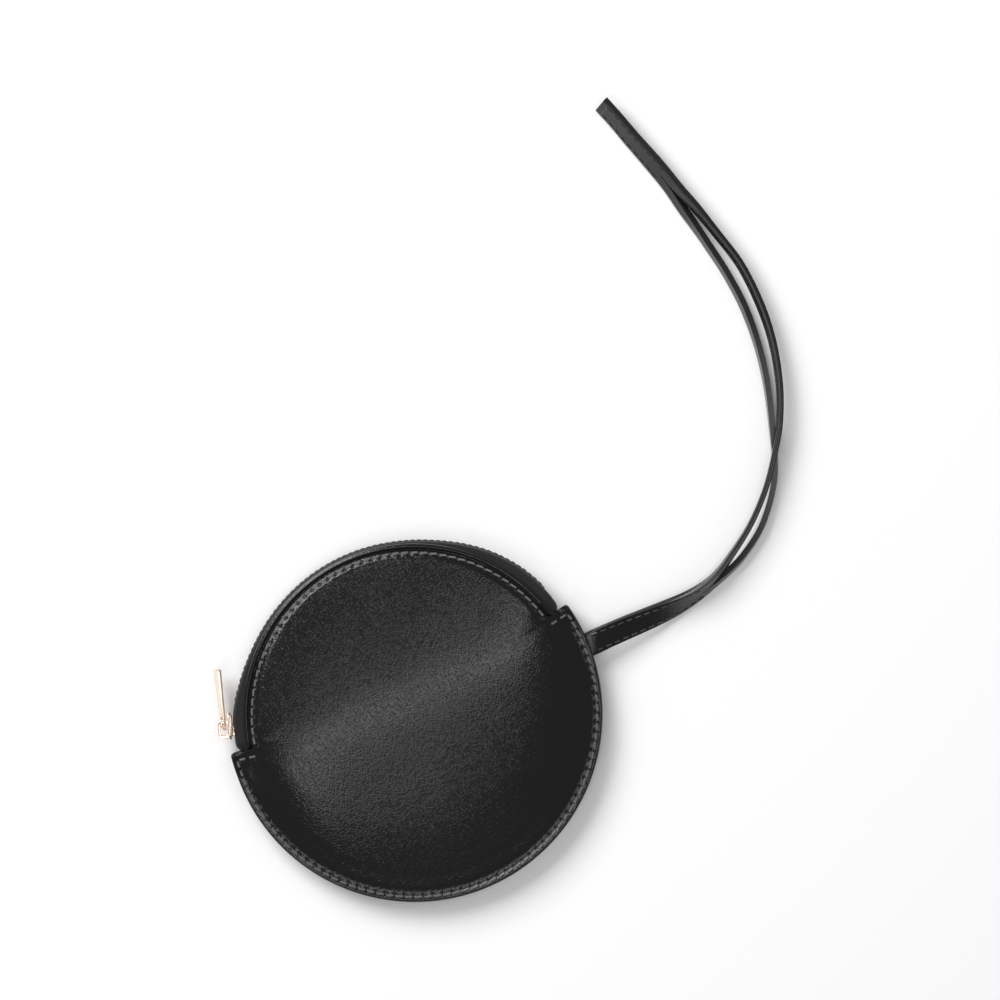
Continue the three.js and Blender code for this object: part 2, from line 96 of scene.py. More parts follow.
# The slider and its pull.
SLIDER_ANGLE = 183.7
SLIDER_LENGTH = 8.6
SLIDER_MOUTH = 7.2
SLIDER_TAIL = 5.8
SLIDER_INNER = 4.4
SLIDER_PLATE = 0.8
POST_LENGTH = 2.4
POST_WIDTH = 1.6
FLANGE = 0.7
MOUTH_ROUND = 1.6
TAIL_CUT = 0.9
PLATE_SOFTNESS = 0.24
POST_SOFTNESS = 0.3
FLANGE_SOFTNESS = 0.2
FLANGE_INSET = 0.05
FLANGE_SHARE = 0.8
CROWN_LENGTH = 5.8
CROWN_WIDTH = 1.2
CROWN_WIRE = 0.7
CROWN_LEG = 1.15
CROWN_CORNER = 1.7
CROWN_OFFSET = 0.9
CROWN_SOFTNESS = 0.16
CROWN_HOLLOW_CORNER = 0.8
PULL_LENGTH = 18.5
PULL_WIDTH = 4.2
PULL_THICKNESS = 1.3
PULL_EYE = 3.8
PULL_EYE_BAR = 0.7
PULL_RAIL = 0.7
PULL_CORNER = 0.6
PULL_SOFTNESS = 0.17
# Between these distances from its hinge the pull thins down to its eye.
PULL_THINNING = (PULL_EYE + 1.0, PULL_EYE - 0.4)
PULL_ROLL = math.radians(18.0)
PULL_LEAN = math.radians(2.5)
CHAIN_GAP = TOOTH_DEPTH / 2 + 1.5 * CLEARANCE
PLATE_FACE = CHAIN_GAP + SLIDER_PLATE
EYE_RADIUS = PULL_EYE_BAR * math.sqrt(0.5) / math.cos(PULL_ROLL)
PIVOT_OUT = PLATE_FACE + CLEARANCE + EYE_RADIUS + PULL_WIDTH / 2 * math.sin(PULL_ROLL)
CROWN_INSIDE = PIVOT_OUT + EYE_RADIUS + CROWN_WIDTH / 2 * math.tan(PULL_ROLL) + CLEARANCE

# The wrist strap.
STRAP_ANGLE = 21.8
STRAP_LENGTH = 213.0
STRAP_WIDTH = 7.5
STRAP_THICKNESS = 1.8
STRAP_TUCK = 6.5
STRAP_DROOP = 34.0
SLIT_START = 38.0
SLIT_LENGTH = 147.0
SLIT = 0.3
PARTING = 16.0
TABLE_GAP = 0.05
STRAP_STEPS = 288
STRAP_EDGE_ROUND = 0.22
STRAP_GROOVE = 0.1
SLIT_RUN_OUT = 1.2
# Rows of vertices along the strap's faces, in shares of the way from the middle to the edge.
FACE_COLUMNS = (0.36, 0.7)

# The sewing.
STITCH_PITCH = 2.95
STITCH_LENGTH = 2.45
STITCH_WIDTH = 0.86
STITCH_RISE = 0.44
STITCH_DIP = 0.3
STRAP_STITCH_LENGTH = 2.1
STRAP_STITCH_WIDTH = 0.55
STITCH_SLANT = math.radians(6.0)
SEWN_STITCH_INSET = 1.6
ZIP_STITCH_INSET = 2.8
STRAP_STITCH_INSET = 1.15
GROOVE_DEPTH = 0.06
GROOVE_WIDTH = 0.55
HOLE_DEPTH = 0.32
HOLE_WIDTH = 0.38
HOLE_SHIFT = 0.5
SEWN_STITCH_START = 2.2
ZIP_STITCH_START = 1.0
NOTCH_STITCH_INSET = 2.6
NOTCH_STITCH_COUNT = 2
STITCH_REST = 0.6
STRAP_SEAM_START = 1.2
STRAP_SEAM_PAST_SLIT = 0.5
STRAP_TIP_INSET = 2.2
STITCH_LIFT = 0.02

# Ridges and valleys of the leather along its edges: how far in from the edge, how high and how wide.
ZIP_BEAD = (0.95, 0.34, 0.5)
ZIP_CREASE = (1.8, -0.42, 0.4)
ZIP_SWELL = (4.2, 0.1, 0.8)
SEWN_RIM = (0.7, 0.16, 0.45)
SEWN_VALLEY = (3.3, -0.3, 1.3)

# Folds at the notches: the notch's angle, how far they spread and how deep they are.
NOTCH_FOLDS = (
    (ZIP_START, 9.36, 0.07),
    (ZIP_END, 10.8, 0.12),
)
FOLDS_PER_RADIAN = 9.0
FOLD_TWIST = 0.09
FOLD_CORNER_INSET = 1.0
# They fade in between the two distances of a pair, from the notch's corner and from the panel's edge.
FOLD_START = (0.6, 4.0)
FOLD_INSET = (0.4, 2.4)

# Waves of the leather that are too long to be grain: how long, how high and which layer of the noise.
WAVES = (
    (26.0, 0.14, 3.1),
    (7.0, 0.02, 8.7),
)
# They fade in between these distances from the edge, and on the back only outside the face that it rests on.
WAVE_INSET = (3.0, 12.0)
BACK_REST = (FIELD_RADIUS * 0.72, FIELD_RADIUS * 0.95)

# How finely the panels are divided: round them, then radii and shares from the middle to the edge and back.
COLUMNS_PER_STITCH = 8
NOTCH_COLUMNS = 19
NOTCH_COLUMN_STEP = 0.1
NOTCH_CORNER_STEP = 0.02
OUTER_FIELD = [0.6] + [3.0 + 2.75 * i for i in range(17)]
OUTER_MARGIN = [i / 34 for i in range(1, 35)]
RIM_STEPS = 4
INNER_MARGIN = [0.94, 0.8, 0.6, 0.4, 0.2]
INNER_FIELD = [1.0, 0.85, 0.65, 0.4, 0.15, 0.012]

# Rings of the panels: share of the field, share of the margin, how softly the ring follows the notches,
# then the rise of the front over the seam and over the zip, and the same of the back.
RINGS = (
    (0.00, 0.00, 8.0, 1.000, 1.000, 1.00, 1.00),
    (0.28, 0.00, 8.0, 1.000, 1.000, 1.00, 1.00),
    (0.52, 0.00, 7.0, 0.995, 0.995, 1.00, 1.00),
    (0.72, 0.00, 5.5, 0.950, 0.950, 1.00, 1.00),
    (0.87, 0.00, 4.0, 0.810, 0.840, 0.93, 0.96),
    (1.00, 0.00, 2.4, 0.560, 0.600, 0.70, 0.75),
    (1.00, 0.30, 1.2, 0.350, 0.400, 0.30, 0.50),
    (1.00, 0.56, 0.4, 0.170, 0.200, 0.00, 0.25),
    (1.00, 0.80, 0.0, 0.040, 0.020, 0.00, 0.05),
    (1.00, 1.00, 0.0, 0.000, 0.000, 0.00, 0.00),
)

# The zip from its first end to its last: share of its run, reach and stand.
ZIP_RUN = (
    (0.00, 0.86, 0.42),
    (0.02, 0.90, 0.55),
    (0.04, 0.94, 0.67),
    (0.09, 0.95, 0.69),
    (0.16, 0.85, 0.75),
    (0.24, 0.60, 0.87),
    (0.31, 0.37, 0.96),
    (0.42, 0.26, 1.00),
    (0.52, 0.26, 1.00),
    (0.66, 0.29, 1.00),
    (0.77, 0.38, 0.95),
    (0.86, 0.64, 0.86),
    (0.92, 0.94, 0.77),
    (0.95, 1.00, 0.74),
    (0.98, 1.00, 0.70),
    (1.00, 1.00, 0.45),
)

# The strap from the seam to its tip: share of its length, heading, roll, and how far the upper and the
# lower strip stand to the left, in shares of the strap's width.
STRAP_RUN = (
    (0.000, 21.8, 0.0, 0.00, 0.00),
    (0.025, 21.4, 20.0, 0.04, 0.04),
    (0.071, 20.5, 29.0, 0.09, 0.09),
    (0.117, 22.5, 41.0, 0.13, 0.13),
    (0.166, 31.0, 60.0, 0.17, 0.16),
    (0.215, 44.0, 73.0, 0.28, 0.09),
    (0.266, 57.0, 81.0, 0.34, -0.03),
    (0.315, 68.0, 85.0, 0.29, -0.12),
    (0.366, 77.5, 88.0, 0.19, -0.10),
    (0.413, 86.0, 90.0, 0.06, 0.02),
    (0.461, 92.0, 93.0, -0.13, 0.15),
    (0.514, 97.0, 97.0, -0.22, 0.20),
    (0.574, 104.0, 101.0, -0.24, 0.25),
    (0.632, 111.0, 105.0, -0.20, 0.29),
    (0.689, 117.0, 105.0, -0.14, 0.38),
    (0.751, 123.0, 107.0, 0.08, 0.46),
    (0.814, 128.5, 118.0, 0.22, 0.40),
    (0.868, 131.0, 122.0, 0.25, 0.26),
    (0.928, 133.5, 119.0, 0.22, 0.22),
    (0.975, 136.0, 118.0, 0.12, 0.12),
    (1.000, 137.0, 119.0, 0.07, 0.07),
)


def lerp(a, b, share):
    return a + (b - a) * share


def smoothstep(value, low, high):
    share = min(max((value - low) / (high - low), 0.0), 1.0)
    return share * share * (3.0 - 2.0 * share)


def polar(radius, angle, height=0.0):
    turn = math.radians(angle)
    return Vector((radius * math.cos(turn), radius * math.sin(turn), height))


def arc_degrees(length, radius):
    return math.degrees(length / radius)


def through(xs, ys, x):
    """The value at x of a smooth curve through the points, which doesn't overshoot between them."""
    i = 0
    while i < len(xs) - 2 and x > xs[i + 1]:
        i += 1
    slopes = [(ys[k + 1] - ys[k]) / (xs[k + 1] - xs[k]) for k in range(len(xs) - 1)]

    def tangent(k):
        if k == 0 or k == len(xs) - 1:
            return slopes[min(k, len(slopes) - 1)]
        before, after = slopes[k - 1], slopes[k]
        if before * after <= 0.0:
            return 0.0
        return 2.0 * before * after / (before + after)

    width = xs[i + 1] - xs[i]
    t = min(max((x - xs[i]) / width, 0.0), 1.0)
    t2, t3 = t * t, t * t * t
    return (
        (2 * t3 - 3 * t2 + 1) * ys[i]
        + (t3 - 2 * t2 + t) * width * tangent(i)
        + (3 * t2 - 2 * t3) * ys[i + 1]
        + (t3 - t2) * width * tangent(i + 1)
    )


def table_at(table, column, share):
    return through([row[0] for row in table], [row[column] for row in table], share)


# The form of the panels


def zip_share(angle):
    return ((angle - ZIP_START + 90.0) % 360.0 - 90.0) / ZIP_SPAN


def zip_at(angle):
    share = min(max(zip_share(angle), 0.0), 1.0)
    return table_at(ZIP_RUN, 1, share) * ZIP_REACH, table_at(ZIP_RUN, 2, share) * ZIP_STAND


def past_zip(angle):
    """Degrees that an angle lies outside the zip. Negative beside it."""
    share = zip_share(angle)
    return max(-share, share - 1.0) * ZIP_SPAN


def openness(angle, soften):
    return 1.0 - smoothstep(past_zip(angle), -soften * NOTCH_BLEND, (1.0 + soften) * NOTCH_BLEND)


def edge_radius(angle):
    """The panels' edge, stepping in through a small round corner at each notch."""
    past = math.radians(past_zip(angle)) * POUCH_RADIUS
    if past <= -NOTCH_INSIDE:
        return ZIP_EDGE
    if past <= 0.0:
        return ZIP_EDGE + NOTCH_INSIDE - math.sqrt(NOTCH_INSIDE**2 - (past + NOTCH_INSIDE) ** 2)
    if past < NOTCH_OUTSIDE:
        return POUCH_RADIUS - NOTCH_OUTSIDE + math.sqrt(NOTCH_OUTSIDE**2 - (NOTCH_OUTSIDE - past) ** 2)
    return POUCH_RADIUS


def edge_lift(angle, margin, soften):
    sewn = LEATHER / 2 + CLEARANCE / 2
    over_tape = zip_at(angle)[1] + TAPE / 2 + CLEARANCE + LEATHER / 2
    over_strap = STRAP_THICKNESS / 2 + CLEARANCE + LEATHER / 2
    half = arc_degrees(STRAP_WIDTH / 2 + 4 * CLEARANCE, POUCH_RADIUS)
    beside = 1.0 - smoothstep(abs(angle % 360.0 - STRAP_ANGLE) / half, *STRAP_BULGE)
    grip = beside * smoothstep(margin, 0.0, GRIP_MARGIN)
    return max(lerp(sewn, over_tape, openness(angle, soften)), lerp(sewn, over_strap, grip))


def bent_height(x, y):
    """Height of the bent front. It slopes down on both sides of its bend, below it more to the right."""
    along = x * math.cos(BEND_ANGLE) + y * math.sin(BEND_ANGLE)
    across = y * math.cos(BEND_ANGLE) - x * math.sin(BEND_ANGLE) - BEND_OFFSET
    lower_slope = lerp(*LOWER_SLOPES, smoothstep(along, -POUCH_RADIUS, POUCH_RADIUS))
    slope = lower_slope if across < 0.0 else UPPER_SLOPE
    return THICKNESS - slope * (math.hypot(across, BEND_WIDTH) - BEND_WIDTH)


def ring_form(side, angle):
    """Radius, edge height and rise of each ring of a panel at an angle."""
    edge = edge_radius(angle)
    radii, tops, rises = [], [], []
    for field, margin, soften, front_sewn, front_zip, back_sewn, back_zip in RINGS:
        open_share = openness(angle, soften)
        sewn, beside = (front_sewn, front_zip) if side > 0 else (back_sewn, back_zip)
        radii.append(field * FIELD_RADIUS + margin * (edge - FIELD_RADIUS))
        tops.append(SEAM_HEIGHT + side * (edge_lift(angle, margin, soften) + LEATHER / 2))
        rises.append(lerp(sewn, beside, open_share))
    return radii, tops, rises


def plain_height(side, radius, angle, form):
    """Height of a panel's outer face as cut and sewn, without what the sewing does to it."""
    radii, tops, rises = form
    top = through(radii, tops, radius)
    rise = through(radii, rises, radius)
    point = polar(radius, angle)
    return lerp(top, bent_height(point.x, point.y) if side > 0 else 0.0, rise)


def stitch_angles(start, end, gap, edge, inset):
    """Angles of a row of stitches at an inset from an edge, with a gap at each end of the row."""
    first = start + arc_degrees(gap, edge)
    last = end - arc_degrees(gap, edge)
    count = round(math.radians(last - first) * (edge - inset) / STITCH_PITCH)
    return [first + (last - first) * (i + 0.5) / count for i in range(count)]


SEWN_STITCHES = stitch_angles(ZIP_END, 360.0 + ZIP_START, SEWN_STITCH_START, POUCH_RADIUS, SEWN_STITCH_INSET)
ZIP_STITCHES = stitch_angles(ZIP_START, ZIP_END, ZIP_STITCH_START, ZIP_EDGE, ZIP_STITCH_INSET)


def stitch_phase(angle, beside):
    """Turns once from stitch to stitch, 0 at a stitch's middle."""
    angles = ZIP_STITCHES if beside else SEWN_STITCHES
    step = angles[1] - angles[0]
    turned = angle if beside or angle >= ZIP_END - 1.0 else angle + 360.0
    return 2.0 * math.pi * (turned - angles[0]) / step


def hump(distance, height, width):
    """A soft round hump, at a distance from its middle."""
    return height * math.exp(-((distance / width) ** 2))


def ridge(inset, shape):
    middle, height, width = shape
    return hump(inset - middle, height, width)


def surface_detail(side, radius, angle, edge):
    """What the sewing and the creasing iron do to the outer face, as a height."""
    inset = edge - radius
    beside = past_zip(angle) < 0.0
    from_row = inset - (ZIP_STITCH_INSET if beside else SEWN_STITCH_INSET)
    between = 0.5 - 0.5 * math.cos(stitch_phase(angle, beside))
    detail = -hump(from_row, GROOVE_DEPTH, GROOVE_WIDTH)
    detail -= hump(from_row - HOLE_SHIFT, HOLE_DEPTH, HOLE_WIDTH) * between**3
    shapes = (ZIP_BEAD, ZIP_CREASE, ZIP_SWELL) if beside else (SEWN_RIM, SEWN_VALLEY)
    return side * (detail + sum(ridge(inset, shape) for shape in shapes))


def notch_wrinkle(side, point, angle):
    """Small folds that fan out of each notch, where the leather is gathered."""
    height = 0.0
    for notch, spread, depth in NOTCH_FOLDS:
        corner = polar(ZIP_EDGE - FOLD_CORNER_INSET, notch)
        away = Vector((point.x - corner.x, point.y - corner.y, 0.0))
        distance = away.length
        bearing = math.atan2(away.y, away.x)
        folds = math.sin(FOLDS_PER_RADIAN * bearing + FOLD_TWIST * distance)
        height += folds * hump(distance, depth, spread) * smoothstep(distance, *FOLD_START)
    return side * height


def unevenness(point, side):
    """The slow wave of soft leather, and a finer one, both too long to be grain."""
    height = 0.0
    for length, rise, layer in WAVES:
        height += rise * noise.noise(Vector((point.x / length, point.y / length, layer * side)))
    return height


def panel_height(side, radius, angle, form):
    """Height of a panel's outer face."""
    edge = form[0][-1]
    point = polar(radius, angle)
    height = plain_height(side, radius, angle, form)
    inside = smoothstep(edge - radius, *WAVE_INSET)
    flat = 1.0 if side > 0 else smoothstep(radius, *BACK_REST)
    height += unevenness(point, side) * inside * flat
    height += notch_wrinkle(side, point, angle) * flat * smoothstep(edge - radius, *FOLD_INSET)
    return height + surface_detail(side, radius, angle, edge)


# Making pieces


def grow(rows, columns, place, closed):
    """Extrudes a row of vertices again and again, with each vertex put at place(row, column)."""
    bm = bmesh.new()
    column_of = bm.verts.layers.int.new("column")
    row_of = bm.verts.layers.int.new("row")
    first = [bm.verts.new(place(0, column)) for column in range(columns)]
    for column, vert in enumerate(first):
        vert[column_of] = column
    count = columns if closed else columns - 1
    edges = [bm.edges.new((first[i], first[(i + 1) % columns])) for i in range(count)]
    for row in range(1, rows):
        made = bmesh.ops.extrude_edge_only(bm, edges=edges)["geom"]
        verts = {item for item in made if isinstance(item, bmesh.types.BMVert)}
        edges = [
            item
            for item in made
            if isinstance(item, bmesh.types.BMEdge) and item.verts[0] in verts and item.verts[1] in verts
        ]
        for vert in verts:
            vert[row_of] = row
            vert.co = place(row, vert[column_of])
    return bm


def close_ends(bm):
    rims = [edge for edge in bm.edges if edge.is_boundary]
    bmesh.ops.holes_fill(bm, edges=rims)


def join(bm, part):
    """Moves one bmesh into another."""
    mesh = bpy.data.meshes.new("part")
    part.to_mesh(mesh)
    part.free()
    bm.from_mesh(mesh)
    bpy.data.meshes.remove(mesh)


def run_uv(bm, columns, row_step, column_step):
    """A UV map in millimetres: along the rows, and round the section."""
    column_of = bm.verts.layers.int["column"]
    row_of = bm.verts.layers.int["row"]
    uv = bm.loops.layers.uv.new("run")
    for face in bm.faces:
        wraps = {0, columns - 1} <= {vert[column_of] for vert in face.verts}
        for loop in face.loops:
            column = loop.vert[column_of]
            turned = column + columns if wraps and column < columns / 2 else column
            loop[uv].uv = (loop.vert[row_of] * row_step, turned * column_step)


def bevel_all(bm, verts, offset, segments=3):
    edges = {edge for vert in verts for edge in vert.link_edges if edge.calc_face_angle(0.0) > 0.35}
    bmesh.ops.bevel(
        bm,
        geom=list(edges),
        offset=offset,
        segments=segments,
        profile=0.5,
        affect="EDGES",
        clamp_overlap=True,
        material=-1,
    )


def add_block(bm, size, middle, bevel, turn=Matrix.Identity(4), segments=3):
    """A block with soft edges."""
    matrix = Matrix.Translation(middle) @ turn @ Matrix.Diagonal((*size, 1.0))
    made = bmesh.ops.create_cube(bm, size=1.0, matrix=matrix)
    bevel_all(bm, made["verts"], bevel, segments)


def finish_piece(name, bm, materials, body, sharp=35.0, replaces=()):
    bmesh.ops.remove_doubles(bm, verts=bm.verts[:], dist=0.0005)
    bmesh.ops.recalc_face_normals(bm, faces=bm.faces[:])
    bmesh.ops.scale(bm, vec=(MM, MM, MM), verts=bm.verts[:])
    mesh = bpy.data.meshes.new(name)
    bm.to_mesh(mesh)
    bm.free()
    for material in materials:
        mesh.materials.append(material)
    mesh.shade_smooth()
    mesh.set_sharp_from_angle(angle=math.radians(sharp))
    piece = bpy.data.objects.new(name, mesh)
    bpy.context.scene.collection.objects.link(piece)
    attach(piece, body)
    if replaces:
        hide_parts(*replaces)
    return piece


# Materials


def linear(code):
    """An sRGB hex value as linear colour."""
    parts = [int(code[i : i + 2], 16) / 255.0 for i in (1, 3, 5)]
    return tuple(p / 12.92 if p <= 0.04045 else ((p + 0.055) / 1.055) ** 2.4 for p in parts) + (1.0,)


def new_material(name, colour, roughness, metallic=0.0, ior=1.5):
    material = bpy.data.materials.new(name)
    material.use_nodes = True
    shader = material.node_tree.nodes["Principled BSDF"]
    shader.inputs["Base Color"].default_value = linear(colour)
    shader.inputs["Roughness"].default_value = roughness
    shader.inputs["Metallic"].default_value = metallic
    shader.inputs["IOR"].default_value = ior
    return material, shader


def add_node(material, kind, settings=None, links=None):
    """Adds a node, sets its properties and its sockets, by name or number, and links others into it."""
    tree = material.node_tree
    node = tree.nodes.new(kind)
    for key, value in (settings or {}).items():
        if isinstance(key, str) and hasattr(node, key):
            setattr(node, key, value)
        else:
            node.inputs[key].default_value = value
    for key, source in (links or {}).items():
        tree.links.new(source, node.inputs[key])
    return node


def link(material, source, target):
    material.node_tree.links.new(source, target)


def fine_relief(material, shader, size_mm, height_mm, strength, detail):
    """A fine uneven surface, with its size and height as the real one has them. Gives back its pattern."""
    place = add_node(material, "ShaderNodeTexCoord").outputs["Object"]
    patches = add_node(
        material, "ShaderNodeTexNoise", {"Scale": 1.0 / (size_mm * MM), "Detail": detail}, {"Vector": place}
    )
    bump = add_node(
        material,
        "ShaderNodeBump",
        {"Strength": strength, "Distance": height_mm * MM},
        {"Height": patches.outputs["Fac"]},
    )
    link(material, bump.outputs["Normal"], shader.inputs["Normal"])
    return patches.outputs["Fac"]


def nappa_leather():
    """Black drum-dyed nappa, lightly finished: a soft sheen broken by a fine pebble grain."""
    material, shader = new_material("black_nappa_leather", "#0b0c0d", 0.165, ior=1.43)
    place = add_node(material, "ShaderNodeTexCoord").outputs["Object"]
    # The pebbles of nappa are 0.5 to 1 mm across, and the swells under groups of them a little wider.
    pebble_mm = 0.8
    swell_mm = 1.3
    cloud_mm = 16.0
    warp_mm = 0.3
    warp = add_node(
        material,
        "ShaderNodeTexNoise",
        {"Scale": 1.0 / (2.0 * pebble_mm * MM), "Detail": 2.0},
        {"Vector": place},
    )
    bent = add_node(
        material,
        "ShaderNodeVectorMath",
        {"operation": "MULTIPLY_ADD", 1: (warp_mm * MM, warp_mm * MM, warp_mm * MM)},
        {0: warp.outputs["Color"], 2: place},
    )
    pebbles = add_node(
        material,
        "ShaderNodeTexVoronoi",
        {"feature": "DISTANCE_TO_EDGE", "Scale": 1.0 / (pebble_mm * MM)},
        {"Vector": bent.outputs["Vector"]},
    )
    tops = add_node(
        material,
        "ShaderNodeMapRange",
        {"interpolation_type": "SMOOTHSTEP", "From Min": 0.0, "From Max": 0.36, "To Min": 0.0, "To Max": 1.0},
        {"Value": pebbles.outputs["Distance"]},
    )
    swells = add_node(
        material, "ShaderNodeTexNoise", {"Scale": 1.0 / (swell_mm * MM), "Detail": 2.0}, {"Vector": place}
    )
    grain = add_node(
        material,
        "ShaderNodeMath",
        {"operation": "MULTIPLY_ADD", 1: 1.6},
        {0: swells.outputs["Fac"], 2: tops.outputs["Result"]},
    )
    bump = add_node(
        material,
        "ShaderNodeBump",
        {"Strength": 1.0, "Distance": 0.027 * MM},
        {"Height": grain.outputs["Value"]},
    )
    clouds = add_node(
        material, "ShaderNodeTexNoise", {"Scale": 1.0 / (cloud_mm * MM), "Detail": 3.0}, {"Vector": place}
    )
    tone = add_node(
        material,
        "ShaderNodeMix",
        {"data_type": "RGBA", 6: linear("#090a0b"), 7: linear("#0e0f10")},
        {0: clouds.outputs["Fac"]},
    )
    gloss = add_node(
        material,
        "ShaderNodeMapRange",
        {"From Min": 0.25, "From Max": 0.75, "To Min": 0.15, "To Max": 0.18},
        {"Value": clouds.outputs["Fac"]},
    )
    link(material, tone.outputs[2], shader.inputs["Base Color"])
    link(material, gloss.outputs["Result"], shader.inputs["Roughness"])
    link(material, bump.outputs["Normal"], shader.inputs["Normal"])
    return material


def painted_edge():
    """Black edge paint on cut leather: satin, and laid on in coats that pool a little."""
    material, shader = new_material("painted_leather_edge", "#111213", 0.3)
    fine_relief(material, shader, size_mm=1.1, height_mm=0.08, strength=0.35, detail=2.0)
    return material


def waxed_thread(name, colour):
    """Black polyester thread, twisted and waxed, with small glints on each stitch. Its grey colour is painted
    highlight: black thread made lighter to stand in for the glints.
    """
    material, shader = new_material(name, colour, 0.28)
    fine_relief(material, shader, size_mm=0.3, height_mm=0.06, strength=0.5, detail=1.0)
    return material


def woven_tape():
    """Black polyester zip tape: matt, with a fine diagonal weave."""
    material, shader = new_material("black_woven_polyester_tape", "#0f1011", 0.85)
    shader.inputs["Sheen Weight"].default_value = 0.15
    uv = add_node(material, "ShaderNodeUVMap", {"uv_map": "run"}).outputs["UV"]
    rib_mm = 0.55
    weave_turn = (0.0, 0.0, math.radians(38.0))
    turned = add_node(material, "ShaderNodeMapping", {"Rotation": weave_turn}, {"Vector": uv})
    ribs = add_node(
        material,
        "ShaderNodeTexWave",
        {"Scale": 1.0 / rib_mm / 3.2, "Distortion": 0.4, "Detail": 1.0},
        {"Vector": turned.outputs["Vector"]},
    )
    bump = add_node(
        material,
        "ShaderNodeBump",
        {"Strength": 0.8, "Distance": 0.12 * MM},
        {"Height": ribs.outputs["Fac"]},
    )
    # The tape's colour follows the ribs' height, as its bump does: painted shade darkens the grooves and
    # painted highlight lightens the rib tops.
    tone = add_node(
        material,
        "ShaderNodeMix",
        {"data_type": "RGBA", 6: linear("#080809"), 7: linear("#171818")},
        {0: ribs.outputs["Fac"]},
    )
    link(material, tone.outputs[2], shader.inputs["Base Color"])
    link(material, bump.outputs["Normal"], shader.inputs["Normal"])
    return material


def moulded_plastic():
    """Black acetal teeth, injection moulded: satin, with the faint skin of the mould."""
    material, shader = new_material("black_moulded_acetal", "#131415", 0.42)
    fine_relief(material, shader, size_mm=0.25, height_mm=0.03, strength=0.2, detail=2.0)
    return material


def rose_gold_plate():
    """Pale rose gold plating on die-cast zinc, tumbled and polished: bright, with soft reflections."""
    material, shader = new_material("pale_rose_gold_plating", "#f5dec9", 0.2, metallic=1.0)
    rubs = fine_relief(material, shader, size_mm=1.4, height_mm=0.05, strength=0.12, detail=4.0)
    gloss = add_node(
        material,
        "ShaderNodeMapRange",
        {"From Min": 0.3, "From Max": 0.7, "To Min": 0.15, "To Max": 0.27},
        {"Value": rubs},
    )
    link(material, gloss.outputs["Result"], shader.inputs["Roughness"])
    return material


# Panels


def panel_columns():
    """Angles round a panel, so many to each stitch, and closer together at the notches."""
    angles = set()
    for stitches in (SEWN_STITCHES, ZIP_STITCHES):
        step = (stitches[1] - stitches[0]) / COLUMNS_PER_STITCH
        first = stitches[0] - COLUMNS_PER_STITCH // 2 * step
        count = len(stitches) * COLUMNS_PER_STITCH + 1
        angles |= {round((first + i * step) % 360.0, 3) for i in range(count)}
    for notch in (ZIP_START, ZIP_END):
        angles = {angle for angle in angles if abs(angle - notch) > NOTCH_COLUMNS * NOTCH_COLUMN_STEP}
        for i in range(1, NOTCH_COLUMNS + 1):
            angles |= {round(notch + away * i * NOTCH_COLUMN_STEP, 3) for away in (-1, 1)}
        angles |= {notch - NOTCH_CORNER_STEP, notch + NOTCH_CORNER_STEP}
    return sorted(angles)


def panel(side, materials):
    """One dished leather panel: its outer face, a round rim and its inner face."""
    angles = panel_columns()
    forms = [ring_form(side, angle) for angle in angles]
    rim_radius = LEATHER / 2
    outer_rows = [("field", radius) for radius in OUTER_FIELD] + [("margin", share) for share in OUTER_MARGIN]
    rim_rows = [("rim", math.pi * (i + 1) / (RIM_STEPS + 1)) for i in range(RIM_STEPS)]
    inner_rows = [("inner margin", share) for share in INNER_MARGIN]
    inner_rows += [("inner field", share) for share in INNER_FIELD]
    rows = outer_rows + rim_rows + inner_rows

    def place(row, column):
        angle = angles[column]
        form = forms[column]
        rim_start = form[0][-1] - rim_radius * RIM_REACH
        kind, value = rows[row]
        if kind == "rim":
            top = panel_height(side, rim_start, angle, form)
            middle = top - side * rim_radius
            radius = rim_start + rim_radius * RIM_REACH * math.sin(value)
            return polar(radius, angle, middle + side * rim_radius * math.cos(value))
        if kind == "field":
            radius = min(value, FIELD_RADIUS)
        elif kind in ("margin", "inner margin"):
            radius = lerp(FIELD_RADIUS, rim_start, value)
        else:
            radius = FIELD_RADIUS * value
        if kind in ("field", "margin"):
            return polar(radius, angle, panel_height(side, radius, angle, form))
        return polar(radius, angle, plain_height(side, radius, angle, form) - side * LEATHER)

    bm = grow(len(rows), len(angles), place, closed=True)
    row_of = bm.verts.layers.int["row"]
    rim_first = len(outer_rows)
    for face in bm.faces:
        levels = [vert[row_of] for vert in face.verts]
        if min(levels) >= rim_first - 1 and max(levels) <= rim_first + RIM_STEPS:
            face.material_index = 1
    close_ends(bm)
    name = "front_leather" if side > 0 else "back_leather"
    node = "front_panel" if side > 0 else "back_panel"
    return finish_piece(name, bm, materials, "pouch", replaces=(node,))


def edge_paint(material):
    """The painted cut edge that closes the seam between the two panels, open where the strap comes out."""
    start = ZIP_END + arc_degrees(NOTCH_OUTSIDE, POUCH_RADIUS)
    half_gap = arc_degrees(STRAP_WIDTH / 2 + CLEARANCE, POUCH_RADIUS)
    spans = (
        (start, 360.0 + STRAP_ANGLE - half_gap),
        (360.0 + STRAP_ANGLE + half_gap, 360.0 + ZIP_START - arc_degrees(NOTCH_OUTSIDE, POUCH_RADIUS)),
    )
    whole = bmesh.new()
    section = 10
    for first, last in spans:
        rows = max(int((last - first) / EDGE_PAINT_STEP), 4)

        def place(row, column, first=first, last=last, rows=rows):
            angle = lerp(first, last, row / (rows - 1))
            half = edge_lift(angle, 1.0, 0.0) + LEATHER * 0.2
            turn = 2.0 * math.pi * column / section
            radius = POUCH_RADIUS - EDGE_PAINT_IN + EDGE_PAINT_OUT * math.cos(turn)
            return polar(radius, angle, SEAM_HEIGHT + half * math.sin(turn))

        bm = grow(rows, section, place, closed=True)
        close_ends(bm)
        join(whole, bm)
    return finish_piece("edge_paint", whole, [material], "pouch")


# Stitches


